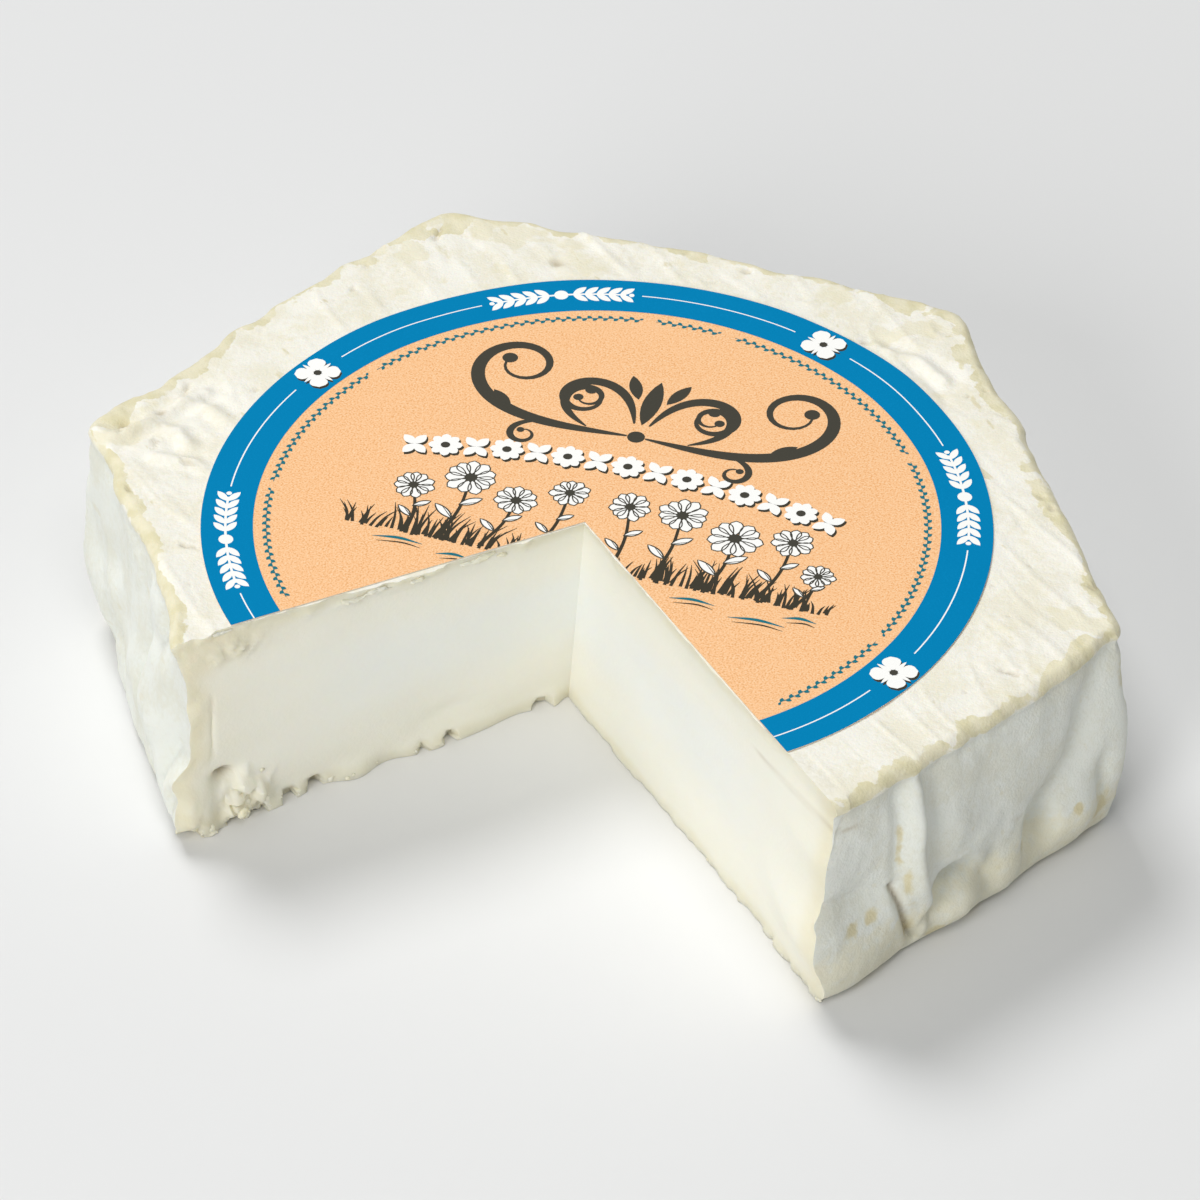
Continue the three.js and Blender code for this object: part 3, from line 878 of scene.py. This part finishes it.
RINGS, SPOKES = 46, 288
sheet = bmesh.new()
spoke_turn = np.arange(SPOKES) * 2 * math.pi / SPOKES
rings = [
    [sheet.verts.new((r * math.cos(t), r * math.sin(t), 0)) for t in spoke_turn]
    for r in np.linspace(LABEL_RADIUS / RINGS, LABEL_RADIUS, RINGS)
]
middle_vert = sheet.verts.new((0, 0, 0))
for k in range(SPOKES):
    after = (k + 1) % SPOKES
    sheet.faces.new((middle_vert, rings[0][k], rings[0][after]))
    for inner, outer in zip(rings[:-1], rings[1:]):
        sheet.faces.new((inner[k], outer[k], outer[after], inner[after]))
trim_by_cut(sheet, TORN_BACK)
underside = bmesh.ops.duplicate(sheet, geom=sheet.faces[:])["geom"]
for part in underside:
    if isinstance(part, bmesh.types.BMVert):
        part.co.z = -PAPER_THICKNESS
under_faces = [part for part in underside if isinstance(part, bmesh.types.BMFace)]
bmesh.ops.reverse_faces(sheet, faces=under_faces)
rim_edges = [edge for edge in sheet.edges if edge.is_boundary]
for face in bmesh.ops.bridge_loops(sheet, edges=rim_edges)["faces"]:
    face.material_index = 1
paper = lay_sheet("label_sheet", sheet, 0.0, finish("kraft_paper", kraft_paper))
paper.data.materials.append(finish("cut_edge", cut_edge))
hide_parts("label")

# The print: a blue border with white hairlines, leafy sprigs and small flowers, a fine vine inside
# it, a charcoal flourish, a band of white blossoms and a meadow of daisies drawn with a pen.
INK_LAYER = 0.03
RING_INNER = 60.0
RING_MIDDLE = 64.8
HAIRLINE = 0.25
STALK = 0.44
BORDER_FLOWERS = (67.5, -22.5, 157.5)
BORDER_GARLANDS = (112.5, 22.5, 202.5, -67.5)
GARLAND_SPREAD = 10.5
RUNG_STEP = 1.9
VINE_RADIUS = 57.7
VINE_STEP = 0.95
VINE_RUNS = ((-41, -18), (-15.5, 33), (36, 81), (84.5, 96), (99, 150), (152.5, 187), (189.5, 219))


def pen_quads(path, widths):
    """Quads of a pen line of changing width along a dense path."""
    path, widths = np.asarray(path, float), np.asarray(widths, float)
    ahead = np.gradient(path, axis=0)
    ahead = ahead / np.maximum(np.hypot(ahead[:, 0], ahead[:, 1]), 1e-9)[:, None]
    aside = np.stack((-ahead[:, 1], ahead[:, 0]), -1) * widths[:, None] / 2
    left, right = path + aside, path - aside
    return [np.array(q) for q in zip(right[:-1], right[1:], left[1:], left[:-1])]


def bent_line(knots, steps=7):
    """Quads of a smooth pen line through knots of x, y and width."""
    knots = np.array(knots, float)
    knots = np.concatenate(([2 * knots[0] - knots[1]], knots, [2 * knots[-1] - knots[-2]]))
    t = np.arange(steps)[:, None] / steps
    parts = [
        b + 0.5 * t * (c - a + t * (2 * a - 5 * b + 4 * c - d + t * (3 * b - 3 * c + d - a)))
        for a, b, c, d in zip(knots[:-3], knots[1:-2], knots[2:-1], knots[3:])
    ]
    line = np.concatenate((*parts, knots[-2:-1]))
    return pen_quads(line[:, :2], line[:, 2])


SCROLL_STEPS = 60


def scroll(x, y, bearing, length, curl, width, side, late):
    """A pen scroll that winds up towards its end, with a round drop there. side -1 mirrors it."""
    s = np.linspace(0, 1, SCROLL_STEPS)
    heading = np.radians(bearing + curl * s ** late)
    path = np.stack((np.cos(heading), np.sin(heading)), -1).cumsum(axis=0) * length / SCROLL_STEPS
    path = (path + (x, y)) * (side, 1)
    widths = width * (0.16 + 0.84 * np.sin(math.pi * s ** 0.75) ** 1.2)
    return pen_quads(path, widths) + [disc(*path[-1], width * 0.55)]


DISC_SIDES = 16


def disc(x, y, radius):
    turn = np.arange(DISC_SIDES) * 2 * math.pi / DISC_SIDES
    return np.stack((x + radius * np.cos(turn), y + radius * np.sin(turn)), -1)


def pen_leaf(x, y, bearing, start, reach, width, tip_heavy, pointed):
    """Outline of a leaf or petal that grows from a place in the direction of bearing."""
    s = np.linspace(0, 1, 9)
    bulge = width / 2 * np.sin(math.pi * s ** tip_heavy) ** pointed
    along = start + np.concatenate((s, s[-2:0:-1])) * (reach - start)
    aside = np.concatenate((-bulge, bulge[-2:0:-1]))
    c, d = math.cos(math.radians(bearing)), math.sin(math.radians(bearing))
    return np.stack((x + along * c - aside * d, y + along * d + aside * c), -1)


def leaf(x, y, bearing, length, width):
    return pen_leaf(x, y, bearing, 0.0, length, width, 1.0, 0.8)


def petal(x, y, bearing, reach, width, start):
    return pen_leaf(x, y, bearing, start, reach, width, 1.5, 0.6)


def outline(shape, width):
    closed = np.concatenate((shape, shape[:2]))
    return pen_quads(closed, np.full(len(closed), width))


def shifted(shapes, dx, dy):
    return [shape + (dx, dy) for shape in shapes]


def on_ring(angle, radius):
    return radius * math.cos(math.radians(angle)), radius * math.sin(math.radians(angle))


def ring_arc(start, end, inner, outer):
    turn = np.radians(np.linspace(start, end, max(2, round(abs(end - start)) + 1)))
    path = (inner + outer) / 2 * np.stack((np.cos(turn), np.sin(turn)), -1)
    return pen_quads(path, np.full(len(path), outer - inner))


def ring_line(start, end, radius, width):
    return ring_arc(start, end, radius - width / 2, radius + width / 2)


# The blue border with its hairlines, sprigs and flowers
blue = []
ring_steps = np.linspace(RING_INNER, LABEL_RADIUS, 7)
for inner, outer in zip(ring_steps[:-1], ring_steps[1:]):
    blue += ring_arc(0, 360, inner, outer)
white, charcoal_low, charcoal_high, teal = [], [], [], []
for middle in BORDER_GARLANDS:
    white += ring_line(middle - GARLAND_SPREAD, middle + GARLAND_SPREAD, RING_MIDDLE, STALK)
    for rung in range(-5, 6):
        angle = middle + rung * RUNG_STEP
        x, y = on_ring(angle, RING_MIDDLE)
        if rung == 0:
            white.append(disc(x, y, 1.3))
            continue
        for tilt in (38, -38):
            white.append(leaf(x, y, angle + (90 if rung > 0 else -90) + tilt, 3.3, 1.35))
    for end in (-1, 1):
        white.append(disc(*on_ring(middle + end * (GARLAND_SPREAD + 0.9), RING_MIDDLE), 0.5))
        white += ring_line(middle + end * (GARLAND_SPREAD + 2.6), middle + end * 39.5, RING_MIDDLE, HAIRLINE)
for middle in BORDER_FLOWERS:
    x, y = on_ring(middle, RING_MIDDLE)
    flower = [petal(x, y, middle + 45 + 90 * k, 4.2, 3.3, 0.5) for k in range(4)]
    flower += [leaf(x, y, middle + 90 * k, 3.6, 0.8) for k in range(4)]
    charcoal_low += shifted(flower, 0.4, -0.5)
    white += flower
    charcoal_high.append(disc(x, y, 0.75))

# The fine vine inside the border
for run_start, run_end in VINE_RUNS:
    for k in range(int((run_end - run_start) / VINE_STEP)):
        angle = run_start + k * VINE_STEP
        x, y = on_ring(angle, VINE_RADIUS)
        teal.append(leaf(x, y, angle + (52 if k % 2 else 128), 1.15, 0.62))
        teal.append(leaf(x, y, angle + (-128 if k % 2 else -52), 0.85, 0.5))
    teal += ring_line(run_start, run_end, VINE_RADIUS, 0.12)

# The charcoal flourish
for side in (-1, 1):
    charcoal_high += scroll(0.5, 24.0, -4, 72, 470, 2.6, side, 2.6)
    charcoal_high += scroll(1.2, 27.0, 72, 38, -420, 2.1, side, 1.9)
    charcoal_high += scroll(9.0, 24.2, 30, 26, 400, 1.7, side, 2.0)
    charcoal_high += scroll(17.0, 23.6, -14, 17, -380, 1.3, side, 1.8)
    charcoal_high.append(leaf(side * 2.6, 34.5, 90 - side * 24, 7.0, 2.4))
    charcoal_high.append(leaf(side * 24.0, 26.2, 90 - side * 50, 5.5, 1.9))
charcoal_high.append(leaf(0, 27.5, 90, 13, 3.4))
charcoal_high.append(disc(0, 24.0, 1.6))

# The white band
BAND_CENTRE = (1.0, -134.0)
BAND_RADIUS = 149.5
BAND_STEP = 2.1
for k in range(-7, 8):
    angle = 90 - k * BAND_STEP
    x = BAND_CENTRE[0] + BAND_RADIUS * math.cos(math.radians(angle))
    y = BAND_CENTRE[1] + BAND_RADIUS * math.sin(math.radians(angle))
    if k % 2:
        group = [leaf(x, y, angle - 90 + tilt, 3.2, 1.9) for tilt in (-52, 52, 128, 232)]
    else:
        group = [petal(x, y, angle + 45 * j, 3.1, 1.75, 0.4) for j in range(8)]
    charcoal_low += shifted(group, 0.42, -0.5)
    white += group
    if k % 2 == 0:
        charcoal_high.append(disc(x, y, 0.85))

# The meadow
GROUND = -13.5
PETALS = 11
draw = np.random.default_rng(8)


def daisy(x, y, size, foot):
    """A daisy drawn with a pen: its stem, leaves, white petals and dotted eye."""
    stem = [(x, y, 0.5), ((x + foot[0]) / 2 + 0.9, (y + foot[1]) / 2, 0.6), (*foot, 0.8)]
    charcoal_low.extend(bent_line(stem))
    for share, tilt, length in ((0.45, 38, 4.6), (0.68, 142, 5.2)):
        at = (x + (foot[0] - x) * share + 0.5, y + (foot[1] - y) * share)
        grown = leaf(*at, tilt, length * size / 5, 1.7 * size / 5)
        white.append(grown)
        charcoal_high.extend(outline(grown, 0.28))
        charcoal_high.extend(pen_quads([at, grown[6]], [0.25, 0.1]))
    for k in range(PETALS):
        bearing = k * 360 / PETALS + draw.uniform(-5, 5)
        grown = petal(x, y, bearing, size * draw.uniform(0.9, 1.06), size * 0.5, size * 0.18)
        white.append(grown)
        charcoal_high.extend(outline(grown, 0.24))
    charcoal_high.append(disc(x, y, size * 0.24))


def grass(x, y, width, blades, tall):
    """A tuft of pen strokes that fan out from the ground."""
    for _ in range(blades):
        at = x + draw.uniform(-width, width)
        lean = draw.uniform(-0.35, 0.35) + (at - x) / width * 0.25
        rise = tall * draw.uniform(0.45, 1.0)
        charcoal_low.extend(bent_line([
            (at, y + draw.uniform(-0.5, 0.5), 0.62),
            (at + lean * rise * 0.35, y + rise * 0.55, 0.4),
            (at + lean * rise, y + rise, 0.08),
        ], 4))


for x, y, size, foot in (
    (-33.5, -0.5, 3.7, (-31.0, -13)), (-24.5, 4.4, 4.8, (-25.0, -13)), (-15.0, 0.6, 4.0, (-17.5, -13)),
    (-6.6, 5.4, 3.6, (-8.0, -12)), (4.6, 4.8, 3.9, (6.0, -13)), (14.0, 5.2, 4.5, (13.5, -13)),
    (24.5, 1.8, 5.0, (23.0, -14)), (34.5, 3.6, 3.9, (32.5, -13)), (41.0, -4.0, 3.1, (39.0, -13)),
):
    daisy(x, y, size, foot)
for x, width, blades, tall in (
    (-38, 4, 16, 6), (-28, 6, 30, 9), (-20, 5, 24, 7), (-11, 4, 14, 6), (8, 4, 14, 6), (17, 5, 26, 8),
    (28, 6, 32, 9), (37, 5, 22, 7), (43.5, 2.5, 8, 4),
):
    grass(x, GROUND, width, blades, tall)
for x, y, length in ((-36, -16, 9), (-24, -17.5, 6), (18, -17, 8), (29, -19, 10), (38, -16.5, 6)):
    ripple = [(x, y, 0.1), (x + length / 2, y + 0.7, 0.7), (x + length, y + 0.2, 0.1)]
    below = [(x + 1, y - 1, 0.08), (x + length / 2 + 1, y - 0.4, 0.35), (x + length, y - 0.9, 0.08)]
    teal += bent_line(ripple)
    charcoal_low += bent_line(below)

PRINTS = (
    (blue, "blue_ink", colour(0, 130, 184)),
    (charcoal_low, "shadow_ink", colour(66, 62, 52)),
    (white, "white_ink", colour(255, 254, 250)),
    (charcoal_high, "charcoal_ink", colour(72, 70, 62)),
    (teal, "teal_ink", colour(38, 118, 132)),
)


def printed(shade):
    """A matt ink that lets a little of the paper's fibre show."""
    def build(tree, shader):
        fibre = noise(tree, place_on(tree), 0.00028, 2.0)
        weaker = tuple(min(1.0, channel * 1.08 + 0.001) for channel in shade[:3]) + (1.0,)
        fill(tree, shader, {
            "Base Color": blend(tree, step(tree, fibre, 0.45, 0.75), shade, weaker),
            "Roughness": 0.75,
            "Specular IOR Level": 0.03,
            "Normal": fine_relief(tree, fibre, 0.2, 0.00005),
        })
    return build


# All inks lie in one layer: where shapes overlap, the later ink hides the earlier one
SMALLEST_INK = 2e-4  # twice the area in square millimetres below which a shape is dropped
corners, outlines, ink_of_outline = [], [], []
for ink_number, (shapes, _, _) in enumerate(PRINTS):
    for shape in shapes:
        x, y = shape.T
        if len(shape) == 4:
            shape = shape[np.argsort(np.arctan2(y - y.mean(), x - x.mean()))]
            x, y = shape.T
        doubled_area = x @ np.roll(y, -1) - y @ np.roll(x, -1)
        if abs(doubled_area) < SMALLEST_INK:
            continue
        outlines.append(list(range(len(corners), len(corners) + len(shape))))
        corners += (shape if doubled_area > 0 else shape[::-1]).tolist()
        ink_of_outline.append(ink_number)
flat_points, _, pieces, _, _, piece_outlines = delaunay_2d_cdt(
    [Vector(corner) for corner in corners], [], outlines, 1, 1e-5, True,
)
flat_points = np.array(flat_points)
piece_middles = np.array([flat_points[piece].mean(axis=0) for piece in pieces])
pieces_of_outline = [[] for _ in outlines]
for number, near_outlines in enumerate(piece_outlines):
    for k in near_outlines:
        pieces_of_outline[k].append(number)
piece_radius = np.hypot(*piece_middles.T)
ink_of_piece = np.where((piece_radius > RING_INNER) & (piece_radius < LABEL_RADIUS), 0, -1)
for k, (outline_corners, candidates) in enumerate(zip(outlines, pieces_of_outline)):
    candidates = np.array(candidates, int)
    x, y = piece_middles[candidates].T
    covered = np.zeros(len(candidates), bool)
    ends = [corners[c] for c in outline_corners]
    for (ax, ay), (bx, by) in zip(ends, ends[1:] + ends[:1]):
        if ay != by:
            covered ^= ((ay > y) != (by > y)) & (x < ax + (y - ay) * (bx - ax) / (by - ay))
    ink_of_piece[candidates[covered]] = np.maximum(ink_of_piece[candidates[covered]], ink_of_outline[k])
ink = bmesh.new()
ink_verts = [ink.verts.new((*point, 0)) for point in flat_points]
for piece, ink_number in zip(pieces, ink_of_piece):
    if ink_number >= 0:
        ink.faces.new([ink_verts[k] for k in piece]).material_index = ink_number
bmesh.ops.delete(ink, geom=[vert for vert in ink.verts if not vert.link_faces], context="VERTS")
trim_by_cut(ink, TORN_BACK + 0.02)
inks = [finish(name, printed(shade)) for _, name, shade in PRINTS]
label_print = lay_sheet("label_print", ink, INK_LAYER, inks[0])
for material in inks[1:]:
    label_print.data.materials.append(material)

# The floor: a plain pale sweep, a stage for the picture and no part of the cheese.
FLOOR_GAP = 0.0001  # in metres, so that floor and base are never in one plane
bpy.ops.mesh.primitive_plane_add(size=6, location=(0, 0, -FLOOR_GAP))
floor = bpy.context.object
floor.name = "floor"


def pale_floor(tree, shader):
    fill(tree, shader, {"Base Color": colour(230, 230, 230), "Roughness": 0.9})


floor.data.materials.append(finish("pale_floor", pale_floor))

# The studio: a broad soft key light from the left and behind, a weaker one low in front, a small high
# one at the front right, and a pale sky all round. The camera is a long lens that looks down.
world = bpy.data.worlds.new("pale_sky")
bpy.context.scene.world = world
world.use_nodes = True
sky = world.node_tree.nodes["Background"]
sky.inputs["Color"].default_value = (0.945, 0.972, 0.955, 1)
sky.inputs["Strength"].default_value = 0.22


def soft_light(name, bearing, elevation, distance, size, power):
    lamp = bpy.data.lights.new(name, "AREA")
    lamp.shape = "DISK"
    lamp.size = size
    lamp.energy = power
    holder = bpy.data.objects.new(name, lamp)
    bearing, elevation = math.radians(bearing), math.radians(elevation)
    away = Vector((
        math.cos(bearing) * math.cos(elevation), math.sin(bearing) * math.cos(elevation), math.sin(elevation),
    ))
    holder.location = away * distance
    holder.rotation_euler = away.to_track_quat("Z", "Y").to_euler()
    bpy.context.collection.objects.link(holder)


soft_light("key_light", bearing=140, elevation=57, distance=3.0, size=1.3, power=51)
soft_light("front_light", bearing=-106, elevation=26, distance=2.0, size=1.0, power=18.5)
soft_light("high_light", bearing=-62, elevation=62, distance=1.8, size=0.7, power=4.8)

CAMERA_AZIMUTH = math.radians(16.4)
CAMERA_ELEVATION = math.radians(40.03)
CAMERA_ROLL = math.radians(0.54)
CAMERA_DISTANCE = 1.0604
LOOK_AT = Vector(((TIP[0] + 1.01) * MM, (TIP[1] + 0.28) * MM, HEIGHT / 2 * MM))
camera_data = bpy.data.cameras.new("camera")
camera_data.sensor_width = 36
camera_data.lens = 180
camera_data.shift_x = 0.0087
camera_data.shift_y = 0.0167
camera = bpy.data.objects.new("camera", camera_data)
back = Vector((
    math.sin(CAMERA_AZIMUTH) * math.cos(CAMERA_ELEVATION),
    -math.cos(CAMERA_AZIMUTH) * math.cos(CAMERA_ELEVATION),
    math.sin(CAMERA_ELEVATION),
))
right = Vector((0, 0, 1)).cross(back).normalized()
up = back.cross(right)
turned_right = right * math.cos(CAMERA_ROLL) + up * math.sin(CAMERA_ROLL)
turned_up = up * math.cos(CAMERA_ROLL) - right * math.sin(CAMERA_ROLL)
facing = Matrix((turned_right, turned_up, back)).transposed()
camera.matrix_world = Matrix.Translation(LOOK_AT + back * CAMERA_DISTANCE) @ facing.to_4x4()
bpy.context.collection.objects.link(camera)
bpy.context.scene.camera = camera
bpy.context.scene.view_settings.view_transform = "Standard"
